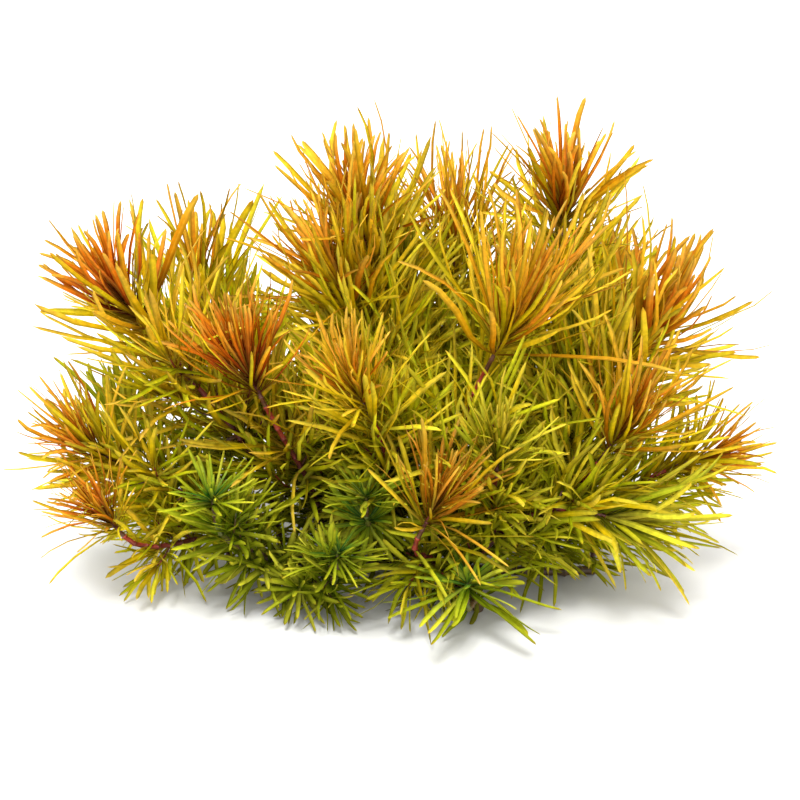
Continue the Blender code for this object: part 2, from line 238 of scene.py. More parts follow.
# %% Draw all the lines
creepers = {"main": np.array([on_ground(x, y) for x, y in MAIN_CREEPER])}
for name, branch in BRANCHES.items():
    creepers[name] = branch_route(branch, creepers["main"])

stems = {}
for shoot in UPRIGHT_SHOOTS:
    foot = curve_point(creepers[shoot.on], shoot.share)
    stems[shoot.name] = stem_route(foot, UP, shoot, crown_route(shoot)[0])

stalks = {}
for shoot in SIDE_SHOOTS:
    fork = curve_point(stems[shoot.on], shoot.share)
    parent_way = curve_direction(stems[shoot.on], shoot.share)
    out = crown_route(shoot)[0] - fork
    out = unit(out - parent_way * (out @ parent_way))
    stalks[shoot.name] = stem_route(fork, out, shoot, crown_route(shoot)[0])
total_length = sum(curve_length(route) for route in [*stems.values(), *stalks.values()])
print(f"{total_length:.2f} m of upright stems and stalks")

# %% [markdown]
# ## One leaf, modelled by hand
#
# The real leaf is a narrow strap: parallel edges, a short blunt tip, a channel along the top and a rib
# under it. A six-sided bar has just the points for that. One corner is the rib below, one is the channel
# above, two are the edges and two the crests between. The bar is laid along Y, extruded row by row, and
# its tip is merged to a point. Then the rows of corners are moved to open the channel, and each row is
# narrowed to the outline. It stays a closed thin solid of a few dozen faces, because thousands of copies
# follow. Leaves on the stems are seen less well, so a four-sided bar without crests does for them, and a
# five-sided rod is the master of all twigs.

# %% Helpers for modelling
NEAR = 0.1 * MM


def deselect_all():
    bpy.ops.object.select_all(action="DESELECT")


def select_points(piece, wanted):
    """In edit mode, selects exactly the vertices that pass a test on their place."""
    bpy.ops.mesh.select_all(action="DESELECT")
    bpy.ops.object.mode_set(mode="OBJECT")
    for vertex in piece.data.vertices:
        vertex.select = bool(wanted(vertex.co))
    bpy.ops.object.mode_set(mode="EDIT")


# %% A bar, row by row
# Each row is a share of the leaf's length, and the share of the full width that it has there.
LEAF_LENGTH = 50 * MM
LEAF_HALF_WIDTH = 1.8 * MM
LEAF_ROWS = ((0.0, 0.44), (0.12, 0.70), (0.32, 0.95), (0.60, 1.0), (0.84, 0.90), (0.965, 0.64))
PLAIN_LEAF_ROWS = ((0.0, 0.48), (0.25, 0.90), (0.65, 1.0), (0.92, 0.72))
TWIG_ROWS = ((0.0, 1.0), (0.35, 0.85), (0.7, 0.7), (0.96, 0.55))


def bar_along_y(sides, rows):
    """A bar of this many sides from row to row, its last row merged into the tip."""
    deselect_all()
    first = rows[0][0] * LEAF_LENGTH
    reached = rows[1][0] * LEAF_LENGTH
    bpy.ops.mesh.primitive_cylinder_add(
        vertices=sides, radius=LEAF_HALF_WIDTH, depth=reached - first,
        location=(0, (first + reached) / 2, 0), rotation=(-math.pi / 2, 0, 0),
    )
    bar = bpy.context.object
    bpy.ops.object.transform_apply(location=True, rotation=True)
    bpy.ops.object.mode_set(mode="EDIT")
    for share in (*[row[0] for row in rows[2:]], 1.0):
        select_points(bar, lambda place: place.y > reached - NEAR)
        step = share * LEAF_LENGTH - reached
        bpy.ops.mesh.extrude_region_move(TRANSFORM_OT_translate={"value": (0, step, 0)})
        reached += step
    bpy.ops.mesh.merge(type="CENTER")
    return bar


# %% Flatten it and open the channel
FLATNESS = 0.2
EDGE_LIFT = 0.50 * MM
PLAIN_EDGE_LIFT = 0.35 * MM
CREST_LIFT = 0.04 * MM
CREST_SHARE = 0.58
CHANNEL_DROP = 0.40 * MM


def open_channel(bar, crested):
    """Moves the bar's rows of corners to a strap's section: channel down, crests in, edges up."""
    widening = 1 / math.cos(math.pi / 6) if crested else 1
    bpy.ops.mesh.select_all(action="SELECT")
    bpy.ops.transform.resize(value=(widening, 1, FLATNESS))
    tall = LEAF_HALF_WIDTH * FLATNESS

    def on_body(place):
        return place.y < LEAF_LENGTH - NEAR

    def on_edge(place):
        edge_height = -0.5 * tall if crested else 0
        outermost = abs(place.x) > 0.9 * LEAF_HALF_WIDTH
        return on_body(place) and outermost and abs(place.z - edge_height) < 0.2 * tall

    select_points(bar, lambda place: on_body(place) and place.z > 0.9 * tall)
    bpy.ops.transform.translate(value=(0, 0, -CHANNEL_DROP))
    if crested:
        select_points(bar, lambda place: on_body(place) and 0.4 * tall < place.z < 0.6 * tall)
        bpy.ops.transform.resize(value=(CREST_SHARE, 1, 1), center_override=(0, 0, 0))
        bpy.ops.transform.translate(value=(0, 0, CREST_LIFT))
    select_points(bar, on_edge)
    bpy.ops.transform.translate(value=(0, 0, EDGE_LIFT if crested else PLAIN_EDGE_LIFT))


# %% The three masters
CRESTED_SIDES = 6
PLAIN_SIDES = 4
TWIG_SIDES = 5


def finished_master(piece, name, rows):
    """Narrows a piece row by row to its outline, and names it."""
    for share, width in rows:
        here = share * LEAF_LENGTH
        select_points(piece, lambda place: abs(place.y - here) < NEAR)
        bpy.ops.transform.resize(value=(width, 1, width), center_override=(0, here, 0))
    bpy.ops.object.mode_set(mode="OBJECT")
    piece.name = name
    print(name, len(piece.data.vertices), "points,", len(piece.data.polygons), "faces")
    return piece


def model_leaf(name, sides, rows):
    leaf = bar_along_y(sides, rows)
    open_channel(leaf, sides == CRESTED_SIDES)
    return finished_master(leaf, name, rows)


full_leaf = model_leaf("master leaf", CRESTED_SIDES, LEAF_ROWS)
plain_leaf = model_leaf("master stem leaf", PLAIN_SIDES, PLAIN_LEAF_ROWS)
twig_rod = finished_master(bar_along_y(TWIG_SIDES, TWIG_ROWS), "master twig", TWIG_ROWS)

# %% [markdown]
# ## From one leaf to thousands
#
# Every leaf has the same form but its own length, bend, twist and age. Thousands of objects would be
# slow, and instances would be lost on export, so the master's points are read once into arrays. A leaf is
# then a formula: its spine is an arc that starts at the stem and curls as far as its curl says, its
# section is carried along that arc, and a twist turns it as it goes. One array holds all the leaves of a
# piece, and becomes one mesh.

# %% Read a master leaf into arrays
Master = namedtuple("Master", "along side rise across faces upper")
SAME_ROW = 0.01


def read_master(leaf):
    """Its points as shares of its length and half width, how far across each lies, and its faces."""
    places = np.array([vertex.co for vertex in leaf.data.vertices])
    along = places[:, 1] / LEAF_LENGTH
    side = places[:, 0] / LEAF_HALF_WIDTH
    rise = places[:, 2] / LEAF_HALF_WIDTH
    row_width = [max(abs(side[np.abs(along - here) < SAME_ROW]).max(), TINY) for here in along]
    across = np.clip(side / np.array(row_width), -1, 1)
    faces = [tuple(face.vertices) for face in leaf.data.polygons]
    upper = [face.normal.z > 0 for face in leaf.data.polygons]
    return Master(along, side, rise, across, faces, upper)


FULL = read_master(full_leaf)
PLAIN = read_master(plain_leaf)
ROD = read_master(twig_rod)
for master in (full_leaf, plain_leaf, twig_rod):
    bpy.data.objects.remove(master)


# %% The spine and section of every leaf at once
STRAIGHTEST = 1e-4
FOOT_TWIST_SHARE = 0.6
TIP_TWIST_SHARE = 1.2


def turned(vectors, axes, angles):
    """Vectors turned round axes, by Rodrigues' formula."""
    cosine = np.cos(angles)[..., None]
    sine = np.sin(angles)[..., None]
    dot = (vectors * axes).sum(-1, keepdims=True)
    return vectors * cosine + np.cross(axes, vectors) * sine + axes * dot * (1 - cosine)


def bent_points(master, leaves):
    """The place of every point of every leaf, as an array of leaves by points by three."""
    way, face, curl = leaves["way"], leaves["face"], leaves["curl"]
    bend = np.maximum(np.linalg.norm(curl, axis=1), STRAIGHTEST)
    towards = curl / bend[:, None]
    pivot = unit(np.cross(way, towards))[:, None, :]
    angle = bend[:, None] * master.along[None, :]
    length = leaves["length"][:, None]
    forward = (np.sin(angle) / bend[:, None] * length)[..., None]
    sideways = ((1 - np.cos(angle)) / bend[:, None] * length)[..., None]
    spine = leaves["foot"][:, None, :] + forward * way[:, None, :] + sideways * towards[:, None, :]
    sway = np.sin(2 * math.pi * master.along)[None, :] * (leaves["sway"] * leaves["length"])[:, None]
    spine = spine + sway[:, :, None] * pivot
    tangent = turned(np.broadcast_to(way[:, None, :], spine.shape), pivot, angle)
    normal = turned(np.broadcast_to(face[:, None, :], spine.shape), pivot, angle)
    twist_share = FOOT_TWIST_SHARE + (TIP_TWIST_SHARE - FOOT_TWIST_SHARE) * master.along
    normal = turned(normal, tangent, leaves["twist"][:, None] * twist_share[None, :])
    across = np.cross(tangent, normal)
    half = (leaves["width"] / 2)[:, None, None]
    return spine + half * (across * master.side[None, :, None] + normal * master.rise[None, :, None])


# %% Keep everything inside the plan's box and above the ground
BOX_LOW, BOX_HIGH = np.array(plan_box)
BOX_EASE = 3 * MM
MOST_CUT = 0.8
GROUND_EASE = 5 * MM


def room_in_box(leaves):
    """How much of its length each leaf keeps, so that its tip stays about inside the plan's box."""
    chord = leaves["way"] + leaves["curl"] / 2
    chord = unit(chord) * leaves["length"][:, None]
    tip = leaves["foot"] + chord
    over = np.maximum(np.maximum(tip - BOX_HIGH - BOX_EASE, BOX_LOW - BOX_EASE - tip), 0)
    over[:, 2] = np.maximum(tip[:, 2] - BOX_HIGH[2] - BOX_EASE, 0)
    cut = over / np.maximum(np.abs(chord), TINY)
    return 1 - np.clip(cut.max(axis=1), 0, MOST_CUT)


def above_ground(points):
    """Eases low points down towards the ground, so that a drooping leaf comes to lie on it."""
    low = points[..., 2] < GROUND_EASE
    eased = GROUND_EASE * np.exp((points[..., 2] - GROUND_EASE) / GROUND_EASE)
    points[..., 2] = np.where(low, eased, points[..., 2])
    return points


# %% [markdown]
# ## Whorls
#
# The leaves stand in whorls: rings round each joint of the stem, each ring turned against the last. Young
# ones near the heart are short and steep, and further down they are longer and open outwards. Most leaves
# curl up towards the light. Near the ground they droop instead, and low rosettes spread flat like stars.
# A leaf that hangs down, or that stands in the gloom inside the clump, stays short. A ring could be
# copied whole, but the copies would be seen at once, so chance varies how each leaf opens, curls, sways
# and twists, and its length and width.

# %% The light in the clump
GLOOM_HEIGHTS = (8 * MM, 78 * MM)
GLOOM_REACHES = (0.45, 0.98)
CLUMP_HALVES = np.array((125 * MM, 85 * MM))


def light_at(places):
    """How lit places are, from 0 in the clump's middle near the ground to 1 further up or out."""
    low = 1 - np.interp(places[..., 2], GLOOM_HEIGHTS, (0, 1))
    out = np.linalg.norm(places[..., :2] / CLUMP_HALVES, axis=-1)
    return 1 - low * (1 - np.interp(out, GLOOM_REACHES, (0, 1)))


# %% How much leaves differ by chance
# Openings are in degrees, and other angles in radians. Shares of length and width are the least, the
# usual one and the most. A rosette grows calmly, and its leaves differ less.
RING_UNEVENNESS = 0.30
OPENING_NOISE = 8
LIFT_NOISE = 0.10
FACE_CURL_MEAN = -0.08
FACE_CURL_NOISE = 0.34
SIDE_CURL_NOISE = 0.28
STRAY_CHANCE = 0.1
STRAY_EXTRA = 0.22
LENGTH_SHARES = (0.6, 1.03, 1.14)
WIDTH_SHARES = (0.65, 0.95, 1.5)
TWIST_NOISE = 0.75
SWAY_NOISE = 0.022
AGE_NOISE = 0.06
ROSETTE_CALM = 0.4
ROSETTE_SPREAD = 1.15


def is_rosette(shoot):
    return shoot.spread > ROSETTE_SPREAD


# %% Ways to stand round a stem
# The ring is measured from a fixed way, which no stem grows along.
RING_REFERENCE = (0.31, 0.95, 0.05)


def ring_of_directions(axis, count, start, unevenness):
    """Directions that stand evenly round an axis, each a little out of place."""
    flat = unit(np.cross(axis, RING_REFERENCE))
    level = np.cross(axis, flat)
    around = start + np.arange(count) * 2 * math.pi / count + chance.normal(0, unevenness, count)
    return np.cos(around)[:, None] * flat + np.sin(around)[:, None] * level


def opened(axis, out, angle):
    """The way of leaves that open by an angle from their axis, and the way that their upper sides face."""
    way = axis * np.cos(angle) + out * np.sin(angle)
    face = axis * np.sin(angle) - out * np.cos(angle)
    return way, face


def upward(way):
    """The way in which a leaf that points this way has to bend to reach up."""
    return UP - way * (way @ UP)[:, None]


# %% How a whorl's leaves bend, and how long they grow
LEAF_LIFT = 0.24
LOW_DROOP = 0.5
DROOP_HEIGHT = 95 * MM
SHADE_LOSS = 0.4
GLOOM_LOSS = 0.3


def curls(way, face, height, shoot):
    """How far each leaf bends and which way. All but the rosettes bend up, or droop near the ground."""
    count = len(way)
    calm = ROSETTE_CALM if is_rosette(shoot) else 1.0
    droop = LOW_DROOP * max(1 - height / DROOP_HEIGHT, 0)
    lift = 0 if is_rosette(shoot) else LEAF_LIFT - droop
    lift = lift + calm * chance.normal(0, LIFT_NOISE, count)[:, None]
    curl = 2 * lift * upward(way)
    curl += calm * face * chance.normal(FACE_CURL_MEAN, FACE_CURL_NOISE, count)[:, None]
    curl += calm * np.cross(way, face) * chance.normal(0, SIDE_CURL_NOISE, count)[:, None]
    return curl


def lengths(way, centre, shoot, share):
    """Each leaf's length. Rosettes live in the shade, so it shortens only the others."""
    count = len(way)
    hanging = np.maximum(-way @ UP, 0)
    kept = (1 - SHADE_LOSS * hanging) * (1 - GLOOM_LOSS * (1 - light_at(centre)))
    stray = 1 + STRAY_EXTRA * (chance.random(count) < STRAY_CHANCE)
    grown = 1 if is_rosette(shoot) else kept * stray
    return share * shoot.leaf * MM * grown * chance.triangular(*LENGTH_SHARES, count)


# %% A whorl's leaves
NARROWEST_ANGLE = 3
WIDEST_ANGLE = 98
Form = namedtuple("Form", "count angle length width age")


def whorl(centre, axis, radius, shoot, form, start):
    """The arrays that describe one whorl's leaves."""
    count = form.count
    calm = ROSETTE_CALM if is_rosette(shoot) else 1.0
    out = ring_of_directions(axis, count, start, RING_UNEVENNESS * calm**0.5)
    angle = min(form.angle * shoot.spread, WIDEST_ANGLE) + calm * chance.normal(0, OPENING_NOISE, count)
    angle = np.clip(angle, NARROWEST_ANGLE, WIDEST_ANGLE + OPENING_NOISE)
    way, face = opened(axis, out, np.radians(angle)[:, None])
    return {
        "foot": centre + out * radius,
        "way": way,
        "face": face,
        "curl": curls(way, face, centre[2], shoot),
        "length": lengths(way, centre, shoot, form.length),
        "width": form.width * MM * chance.triangular(*WIDTH_SHARES, count),
        "twist": calm * chance.normal(0, TWIST_NOISE, count),
        "sway": chance.normal(0, SWAY_NOISE, count),
        "age": form.age + chance.normal(0, AGE_NOISE, count),
        "tone": chance.uniform(0, 1, count),
    }


def gathered(whorls):
    """Several whorls as one set of arrays."""
    return {key: np.concatenate([one[key] for one in whorls]) for key in whorls[0]}


# %% [markdown]
# ## Crowns and stem leaves
#
# A shoot ends in a crown, whose whorls stand closer and steeper up to the growing heart. In the light it
# makes a plume or a fan. A low one in the shade is a rosette, with fewer and broader leaves and short
# young ones. One list of rings for each of the two kinds holds the pattern. Real shoots of one plant
# still differ in character, so a shoot may have a habit, which makes it fuller, longer, more open or
# leafier than the pattern says.

# %% The habits of single shoots
# Beside a plain shoot's 1: how many leaves its crown has, how long they reach, how far they open, and how
# many leaves its stem has. Some shoots have a neck below the crown, where there is hardly a leaf.
Habit = namedtuple("Habit", "fullness reach opening leafiness")
PLAIN_HABIT = Habit(1.0, 1.0, 1.0, 1.0)
HABITS = {
    "left_high": Habit(0.95, 0.9, 1.0, 0.8),
    "left_middle": Habit(1.2, 1.0, 1.0, 1.0),
    "left_low": Habit(1.4, 1.1, 1.0, 1.0),
    "left_plume": Habit(1.5, 1.0, 1.0, 1.4),
    "inner_left": Habit(1.2, 1.05, 1.1, 1.2),
    "middle_high": Habit(1.4, 1.12, 1.2, 1.5),
    "centre_plume": Habit(1.6, 1.12, 0.98, 1.2),
    "right_middle": Habit(1.3, 1.05, 1.08, 1.0),
    "right_high": Habit(1.15, 1.05, 1.0, 1.0),
    "right_far": Habit(0.85, 1.0, 1.0, 1.0),
    "front_left": Habit(1.3, 1.0, 0.8, 0.7),
    "front_low": Habit(1.4, 1.0, 1.0, 1.0),
    "front_rosette": Habit(1.0, 1.15, 1.15, 1.0),
    "front_orange": Habit(1.35, 1.12, 1.05, 1.3),
    "right_low": Habit(0.65, 1.15, 0.9, 0.9),
    "top_left": Habit(1.15, 1.0, 1.2, 1.5),
    "rear_left": Habit(0.4, 1.0, 1.0, 1.2),
    "top_back": Habit(1.7, 1.35, 1.05, 1.0),
    "top_right": Habit(1.15, 0.92, 1.0, 0.7),
    "rear_right": Habit(0.7, 0.75, 1.0, 1.0),
    "inner_low": Habit(1.3, 1.0, 0.85, 1.2),
    "left_back": Habit(0.6, 0.9, 1.0, 0.8),
    "right_back": Habit(0.3, 0.8, 1.0, 0.4),
}
BARE_NECKS = ("centre_plume", "right_middle", "front_orange", "left_low", "left_plume")
print(len(HABITS), "shoots have a habit of their own, and", len(BARE_NECKS), "have a bare neck")


def habit_of(shoot):
    return HABITS.get(shoot.name, PLAIN_HABIT)


# %% The rings of a crown, from its foot to its heart
# Heights are shares of the crown's leafy part, angles are degrees from its axis, and lengths are beside
# its longest leaf.
Ring = namedtuple("Ring", "height count angle length")
CROWN_RINGS = (
    Ring(0.10, 5, 56, 0.92),
    Ring(0.23, 6, 54, 0.98),
    Ring(0.34, 6, 50, 1.02),
    Ring(0.43, 7, 45, 1.04),
    Ring(0.52, 7, 40, 1.05),
    Ring(0.60, 7, 34, 1.04),
    Ring(0.67, 8, 28, 1.02),
    Ring(0.74, 8, 23, 0.97),
    Ring(0.80, 7, 18, 0.90),
    Ring(0.85, 7, 13, 0.78),
    Ring(0.91, 6, 8, 0.62),
    Ring(0.95, 4, 4, 0.45),
)
ROSETTE_RINGS = (
    Ring(0.62, 5, 66, 0.92),
    Ring(0.70, 6, 66, 1.00),
    Ring(0.77, 6, 63, 1.00),
    Ring(0.83, 5, 58, 0.86),
    Ring(0.88, 5, 50, 0.66),
    Ring(0.92, 5, 40, 0.46),
    Ring(0.96, 4, 26, 0.30),
    Ring(1.00, 3, 10, 0.20),
)
print("a plain crown has", sum(ring.count for ring in CROWN_RINGS), "leaves")

# %% A crown's leaves
CROWN_WIDTH_SHARE = 0.052
ROSETTE_WIDTH_SHARE = 0.084
YOUNG_NARROWING = 0.35
THINNING = 0.6
MOST_WIDENING = 1.1
NECK_HEIGHT = 0.3
CROWN_STEM_RADIUS = 0.8 * MM
CROWN_TURN = 0.41


def crown_form(ring, shoot):
    """The form of one ring's leaves. A fuller crown has more of them, and narrower ones."""
    habit = habit_of(shoot)
    width_share = ROSETTE_WIDTH_SHARE if is_rosette(shoot) else CROWN_WIDTH_SHARE
    width = width_share * shoot.leaf * (1 - YOUNG_NARROWING * ring.height**2)
    width *= min(habit.fullness**-THINNING, MOST_WIDENING)
    count = math.ceil(ring.count * habit.fullness)
    return Form(count, ring.angle * habit.opening, ring.length * habit.reach, width, 1 - ring.height)


def crown_leaves(shoot, route):
    """All the whorls of a crown."""
    whorls = []
    for number, ring in enumerate(ROSETTE_RINGS if is_rosette(shoot) else CROWN_RINGS):
        if ring.height < NECK_HEIGHT and shoot.name in BARE_NECKS:
            continue
        height = ring.height * heart_share(shoot)
        centre = curve_point(route, height)
        axis = curve_direction(route, height)
        form = crown_form(ring, shoot)
        whorls.append(whorl(centre, axis, CROWN_STEM_RADIUS, shoot, form, number * CROWN_TURN))
    return gathered(whorls)


# %% Where a stem has its joints, and its neck
WHORL_STEP = 7 * MM
LEAST_JOINTS = 3
TOP_GAP = 0.3
NECK_START = 0.75
LOW_HEART_NECK_START = 0.35


def whorl_shares(route):
    """Where the joints of a stem are, as shares of its true length."""
    count = max(int(round(curve_length(route) / WHORL_STEP)), LEAST_JOINTS)
    return np.arange(1, count + 1) / (count + TOP_GAP)


def neck_start(shoot):
    """How far up its stem a shoot's neck begins. At 1 it has none."""
    if shoot.name in LOW_HEARTS:
        return LOW_HEART_NECK_START
    return NECK_START if shoot.name in BARE_NECKS else 1


# %% A stem's leaves
# Pairs are the values at the stem's foot and at its top. Lengths are beside the crown's longest leaf.
STEM_COUNTS = (6, 10)
STEM_ANGLES = (64, 40)
STEM_WIDTHS = (2.16, 2.64)
STEM_LENGTH = 1.12
ROSETTE_STEM_LENGTH = 0.9
LOW_HEART_STEM_LENGTH = 0.5
STEM_RADIUS = 1.2 * MM
STEM_TURN = 0.37


def between(share, foot, top):
    return foot + (top - foot) * share


def stem_leaf_length(shoot):
    if shoot.name in LOW_HEARTS:
        return LOW_HEART_STEM_LENGTH
    return ROSETTE_STEM_LENGTH if is_rosette(shoot) else STEM_LENGTH


def stem_leaves(shoot, route):
    """All the whorls of a stem. A neck has a single leaf at each joint."""
    whorls = []
    for number, share in enumerate(whorl_shares(route)):
        count = round(between(share, *STEM_COUNTS) * habit_of(shoot).leafiness)
        if share > neck_start(shoot):
            count = 1
        width = between(share**2, *STEM_WIDTHS)
        form = Form(count, between(share, *STEM_ANGLES), stem_leaf_length(shoot), width, 1 - share)
        place = shares_at(route, share)
        centre = curve_point(route, place)
        axis = curve_direction(route, place)
        whorls.append(whorl(centre, axis, STEM_RADIUS, shoot, form, number * STEM_TURN))
    return gathered(whorls)


# %% [markdown]
# ## Sprigs
#
# What fills the middle of a clump is small growth: many joints of a stem carry a sprig, a thin twig with
# a few whorls of short leaves. A twig bends just as a leaf does, so the same formula bends it. It only
# needs a round master in place of the strap, and its whorls stand where the formula puts its spine.

# %% One twig
TWIG_WIDTH = 1.2 * MM
TWIG_ANGLES = (48, 66)
TWIG_CURLS = (0.3, 0.9)
TWIG_LENGTHS = (0.4, 0.6)


def new_twig(centre, axis, shoot, age):
    """The arrays of a single twig, which leaves the stem to a side by chance and bends up."""
    out = ring_of_directions(axis, 1, chance.uniform(0, 2 * math.pi), 0)
    way, face = opened(axis, out, math.radians(chance.uniform(*TWIG_ANGLES)))
    return {
        "foot": centre[None, :],
        "way": way,
        "face": face,
        "curl": upward(way) * chance.uniform(*TWIG_CURLS),
        "length": np.array([shoot.leaf * MM * chance.uniform(*TWIG_LENGTHS)]),
        "width": np.array([TWIG_WIDTH]),
        "twist": np.zeros(1),
        "sway": np.zeros(1),
        "age": np.array([age]),
        "tone": chance.uniform(0, 1, 1),
    }


def arc_place(twig, along):
    """The place and direction at a share of a bent twig."""
    bend = np.linalg.norm(twig["curl"][0])
    towards = twig["curl"][0] / bend
    angle = bend * along
    way = twig["way"][0]
    arc = np.sin(angle) * way + (1 - np.cos(angle)) * towards
    place = twig["foot"][0] + twig["length"][0] / bend * arc
    return place, way * np.cos(angle) + towards * np.sin(angle)


# %% The sprigs of a stem
SPRIG_RINGS = (
    Ring(0.35, 6, 60, 0.84),
    Ring(0.60, 6, 48, 0.90),
    Ring(0.82, 5, 34, 0.86),
    Ring(1.00, 4, 16, 0.70),
)
SPRIG_LEAF_WIDTH = 2.04
SPRIG_AGES = (0.9, 0.2)
SPRIG_TURNS = (0, 6)
SPRIG_FOOT = 0.15
SPRIG_TOP = 0.86
NECK_CLEARANCE = 0.07
SPRIG_FLOOR = 10 * MM
TWIG_RADIUS = 0.4 * MM


def sprig_leaves(twig, shoot, age):
    """The whorls along one twig."""
    whorls = []
    for ring in SPRIG_RINGS:
        place, direction = arc_place(twig, ring.height)
        form = Form(ring.count, ring.angle, ring.length, SPRIG_LEAF_WIDTH, age)
        whorls.append(whorl(place, direction, TWIG_RADIUS, shoot, form, chance.uniform(*SPRIG_TURNS)))
    return gathered(whorls)


def stem_sprigs(shoot, route):
    """The sprigs of a whole stem: their twigs, and all their leaves."""
    twigs, leaves = [], []
    top = min(SPRIG_TOP, neck_start(shoot) - NECK_CLEARANCE)
    for share in whorl_shares(route):
        place = shares_at(route, share)
        centre = curve_point(route, place)
        if not SPRIG_FOOT < share < top or centre[2] < SPRIG_FLOOR:
            continue
        age = between(share, *SPRIG_AGES)
        twig = new_twig(centre, curve_direction(route, place), shoot, age)
        twigs.append(twig)
        leaves.append(sprig_leaves(twig, shoot, age))
    return twigs, leaves


# %% [markdown]
# ## A mesh from arrays
#
# A mesh needs points and faces, and the skins need to know more about each point: how far along and
# across its leaf it lies, how old, how lit and how red the leaf is, and a chance value that sets it apart
# from its neighbours. Those go in as attributes. A UV map lays every leaf out as its own strip in a grid,
# the upper side beside the lower, so that colours can be baked sharply later. The top of the sheet stays
# free for the stem.

# %% A strip of the sheet for every leaf
SHEET_TOP = 0.9
STRIP_MARGIN = 0.04
MANY_LEAVES = 100
FEW_COLUMNS = 4
MANY_COLUMNS = 6


def strip_places(master):
    """For each corner of the master's faces, its place along a strip and across its upper or lower half."""
    places = []
    for face, is_upper in zip(master.faces, master.upper):
        for index in face:
            half = (master.across[index] + 1) / 4
            places.append((master.along[index], half if is_upper else 1 - half))
    places = np.array(places)
    return STRIP_MARGIN + places * (1 - 2 * STRIP_MARGIN)


def lay_out_leaves(mesh, master, count):
    """Writes the UV map: a grid with one leaf in each cell."""
    columns = FEW_COLUMNS if count < MANY_LEAVES else MANY_COLUMNS
    rows = math.ceil(count / columns)
    cell = np.array([(number % columns, number // columns) for number in range(count)])
    strip = strip_places(master)
    places = (cell[:, None, :] + strip[None, :, :]) / (columns, rows) * (1, SHEET_TOP)
    layer = mesh.uv_layers.new(name="OFBake")
    layer.data.foreach_set("uv", places.astype(np.float32).ravel())


# %% One mesh for all the leaves of a piece
def add_values(mesh, name, values):
    attribute = mesh.attributes.new(name, "FLOAT", "POINT")
    attribute.data.foreach_set("value", np.asarray(values, np.float32).ravel())


def leaf_mesh(name, master, leaves, red):
    """All these leaves as one mesh. They turn red only where light reaches them."""
    leaves["length"] = leaves["length"] * room_in_box(leaves)
    points = above_ground(bent_points(master, leaves))
    count, corners = points.shape[:2]
    faces = []
    for number in range(count):
        faces += [tuple(index + number * corners for index in face) for face in master.faces]
    mesh = bpy.data.meshes.new(name)
    mesh.from_pydata(points.reshape(-1, 3).tolist(), [], faces)
    light = light_at(leaves["foot"])
    reds = red * light if red > 0 else np.full(count, red)
    for key, values in (("along", master.along), ("across", master.across)):
        add_values(mesh, key, np.tile(values, count))
    for key, values in (("age", leaves["age"]), ("tone", leaves["tone"]), ("light", light), ("red", reds)):
        add_values(mesh, key, np.repeat(values, corners))
    lay_out_leaves(mesh, master, count)
    return mesh


# %% [markdown]
# ## Jointed stems
#
# The stems are round and a little thicker at each joint, where a whorl stands. One stretch between two
# joints is modelled once: a short tube, extruded twice at its top for the swelling. An Array modifier
# repeats it, a Curve modifier bends the row along the stem's line, and both are applied. The curve's own
# radius thins it towards the tip.

# %% One stretch of stem
TUBE_RADIUS = 1.25 * MM
TUBE_SIDES = 8
STRETCH = 10 * MM
PLAIN_SHARE = 0.80
SWELLING = 1.32
SWELLING_STEPS = ((0.12, SWELLING), (0.08, 1 / SWELLING))


def model_stretch():
    """A plain tube, open at both ends, with a swelling at its top."""
    deselect_all()
    reached = PLAIN_SHARE * STRETCH
    bpy.ops.mesh.primitive_cylinder_add(
        vertices=TUBE_SIDES, radius=TUBE_RADIUS, depth=reached,
        end_fill_type="NOTHING", location=(0, 0, reached / 2),
    )
    stretch = bpy.context.object
    bpy.ops.object.transform_apply(location=True)
    bpy.ops.object.mode_set(mode="EDIT")
    for share, swell in SWELLING_STEPS:
        select_points(stretch, lambda place: place.z > reached - NEAR)
        bpy.ops.mesh.extrude_region_move(TRANSFORM_OT_translate={"value": (0, 0, share * STRETCH)})
        bpy.ops.transform.resize(value=(swell, swell, 1), center_override=(0, 0, 0))
        reached += share * STRETCH
    bpy.ops.object.mode_set(mode="OBJECT")
    stretch.name = "master stretch"
    print("one stretch of stem has", len(stretch.data.polygons), "faces")
    return stretch


master_stretch = model_stretch()

# %% A guide curve along a route
GUIDE_STEPS = 32


def guide_curve(route, thickness):
    """A curve object on a route. Its two radii thin what bends along it, from the foot to the top."""
    deselect_all()
    bpy.ops.curve.primitive_bezier_curve_add(location=(0, 0, 0))
    guide = bpy.context.object
    guide.data.resolution_u = GUIDE_STEPS
    first, last = guide.data.splines[0].bezier_points
    for point in (first, last):
        point.handle_left_type = point.handle_right_type = "FREE"
    first.co, first.handle_right = route[0], route[1]
    last.handle_left, last.co = route[2], route[3]
    first.handle_left = 2 * route[0] - route[1]
    last.handle_right = 2 * route[3] - route[2]
    first.radius, last.radius = thickness
    return guide


# %% A straight row of stretches
WELD_DISTANCE = 0.02 * MM
TUBE_MARGIN = 0.01


def row_of_stretches(name, length, count):
    """Copies of the master stretch end to end, welded, and closed at both ends."""
    deselect_all()
    tube = master_stretch.copy()
    tube.data = master_stretch.data.copy()
    tube.name = name
    bpy.context.scene.collection.objects.link(tube)
    bpy.context.view_layer.objects.active = tube
    tube.select_set(True)
    tube.scale = (1, 1, length / count / STRETCH)
    bpy.ops.object.transform_apply(scale=True)
    array = tube.modifiers.new("repeat", "ARRAY")
    array.count = count
    array.relative_offset_displace = (0, 0, 1)
    array.use_merge_vertices = True
    array.merge_threshold = WELD_DISTANCE
    bpy.ops.object.modifier_apply(modifier=array.name)
    bpy.ops.object.mode_set(mode="EDIT")
    bpy.ops.mesh.select_all(action="SELECT")
    bpy.ops.mesh.fill_holes(sides=0)
    bpy.ops.object.mode_set(mode="OBJECT")
    return tube


